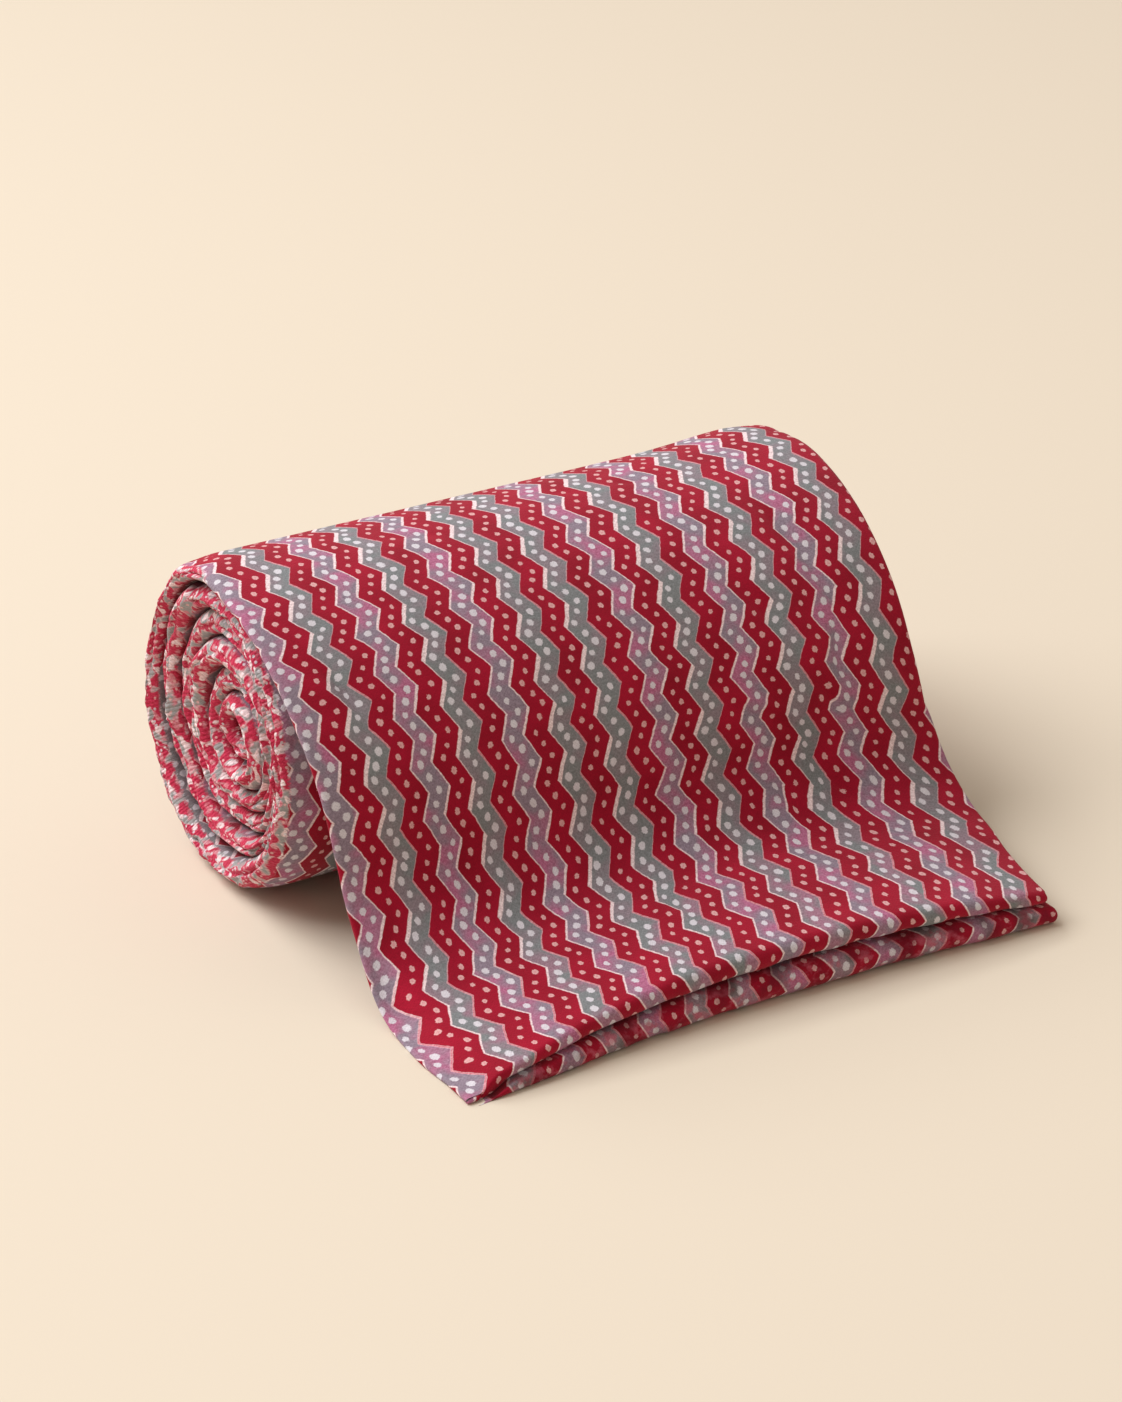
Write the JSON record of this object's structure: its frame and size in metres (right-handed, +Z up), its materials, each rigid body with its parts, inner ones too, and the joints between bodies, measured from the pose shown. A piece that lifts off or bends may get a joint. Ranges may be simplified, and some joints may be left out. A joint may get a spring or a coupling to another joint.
{
  "type": "folded printed fabric roll",
  "caption": "Length of printed cotton cloth, folded into a strip and wound into a roll, with its loose end drawn out and folded under.",
  "frame": {"origin": "on the resting surface, under the middle of the part's bounding box", "axes": "+X along the roll, +Z up, loose end towards -Y"},
  "size_m": [0.2832, 0.2772, 0.1406],
  "materials": {
    "printed_cotton": "matt woven cotton, printed with crimson and grey zigzag stripes and small dots"
  },
  "bodies": {
    "root": {"wound_roll": "printed_cotton", "loose_end": "printed_cotton"}
  },
  "joints": []
}
